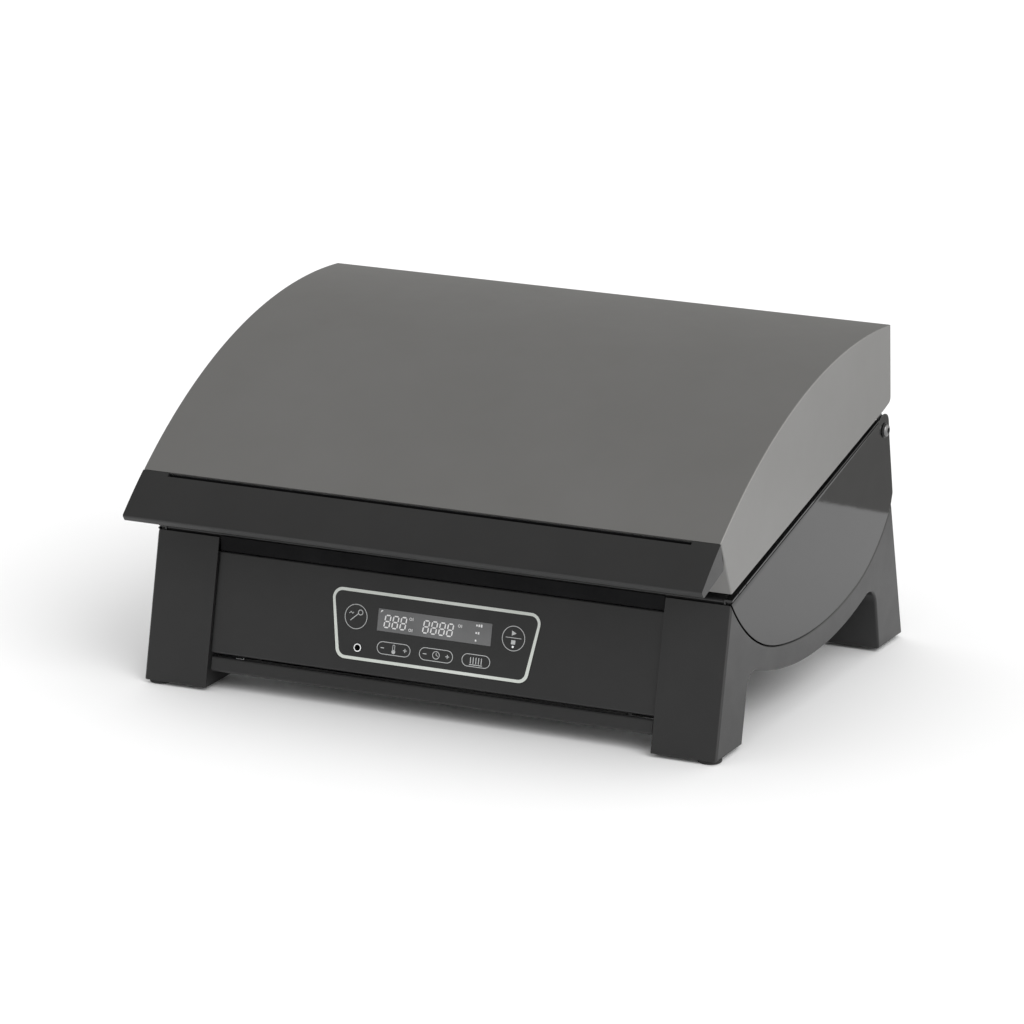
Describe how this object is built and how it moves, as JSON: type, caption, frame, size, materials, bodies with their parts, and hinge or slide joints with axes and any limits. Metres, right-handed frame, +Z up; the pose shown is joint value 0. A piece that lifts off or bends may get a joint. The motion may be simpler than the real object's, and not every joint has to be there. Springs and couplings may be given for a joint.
{
  "type": "electric griddle",
  "caption": "Tabletop electric griddle with a curved hinged hood, cast plate over an element, touch panel and pull-out grease tray.",
  "frame": {"origin": "on the surface it stands on, at the middle of the overall width and depth", "axes": "+Z up, the handle and control panel face -Y, +X is the right-hand side seen from the front"},
  "size_m": [0.649, 0.5252, 0.3512],
  "materials": {
    "stand_enamel": "satin",
    "side_gloss": "gloss",
    "hood_enamel": "satin metallic",
    "handle_black": "satin",
    "liner_steel": "satin",
    "bright_steel": "brushed",
    "cast_plate": "non-stick matt",
    "element_sheath": "heat tinted",
    "foot_rubber": "matt",
    "silicone": "matt",
    "panel_film": "satin film",
    "display_lens": "clear",
    "circuit_board": "solder mask",
    "component": "moulded",
    "black_plastic": "fine texture"
  },
  "bodies": {
    "body": {"capacitor": "component", "control_box_cover": "liner_steel", "display_board": "circuit_board", "display_lens": "display_lens", "display_module": "component", "drain_spout": "bright_steel", "element_bracket_left": "bright_steel", "element_bracket_right": "bright_steel", "fascia": "stand_enamel", "firebox_liner_left": "liner_steel", "firebox_liner_right": "liner_steel", "firebox_shell": "liner_steel", "firebox_side_left": "side_gloss", "firebox_side_right": "side_gloss", "foot_front_left": "foot_rubber", "foot_front_right": "foot_rubber", "foot_rear_left": "foot_rubber", "foot_rear_right": "foot_rubber", "heat_reflector": "bright_steel", "heating_element": "element_sheath", "hinge_nut_left": "bright_steel", "hinge_nut_right": "bright_steel", "hinge_screw_left": "bright_steel", "hinge_screw_right": "bright_steel", "hinge_washer_left": "bright_steel", "hinge_washer_right": "bright_steel", "hood_bumper_left": "silicone", "hood_bumper_right": "silicone", "plate_ledge_left": "liner_steel", "plate_ledge_right": "liner_steel", "power_board": "circuit_board", "power_inlet": "black_plastic", "power_relay": "component", "probe_socket": "bright_steel", "rear_bar": "stand_enamel", "stand_left": "stand_enamel", "stand_right": "stand_enamel", "temperature_sensor": "bright_steel", "terminal_block": "black_plastic", "terminal_cover": "bright_steel", "thermal_cutout": "component", "touch_overlay": "panel_film", "transformer": "component", "tray_runner_left": "liner_steel", "tray_runner_right": "liner_steel"},
    "hood": {"hood_skin": "hood_enamel", "hood_side_left": "hood_enamel", "hood_side_right": "hood_enamel", "handle_bar": "handle_black", "handle_cap_left": "handle_black", "handle_cap_right": "handle_black", "hinge_arm_left": "liner_steel", "hinge_arm_right": "liner_steel"},
    "griddle_plate": {"griddle_plate": "cast_plate"},
    "grease_tray": {"grease_tray": "liner_steel", "tray_front": "stand_enamel"}
  },
  "joints": [
    {"name": "hood_hinge", "type": "hinge", "parent": "body", "child": "hood", "pos_m": [0, 0.2038, 0.239], "axis": [-1, 0, 0], "range_deg": [0, 88]},
    {"name": "tray_slide", "type": "slide", "parent": "body", "child": "grease_tray", "axis": [0, -1, 0], "range_m": [0, 0.3]},
    {"name": "plate_lift", "type": "slide", "parent": "body", "child": "griddle_plate", "axis": [0, 0, 1], "range_m": [0, 0.06]}
  ]
}
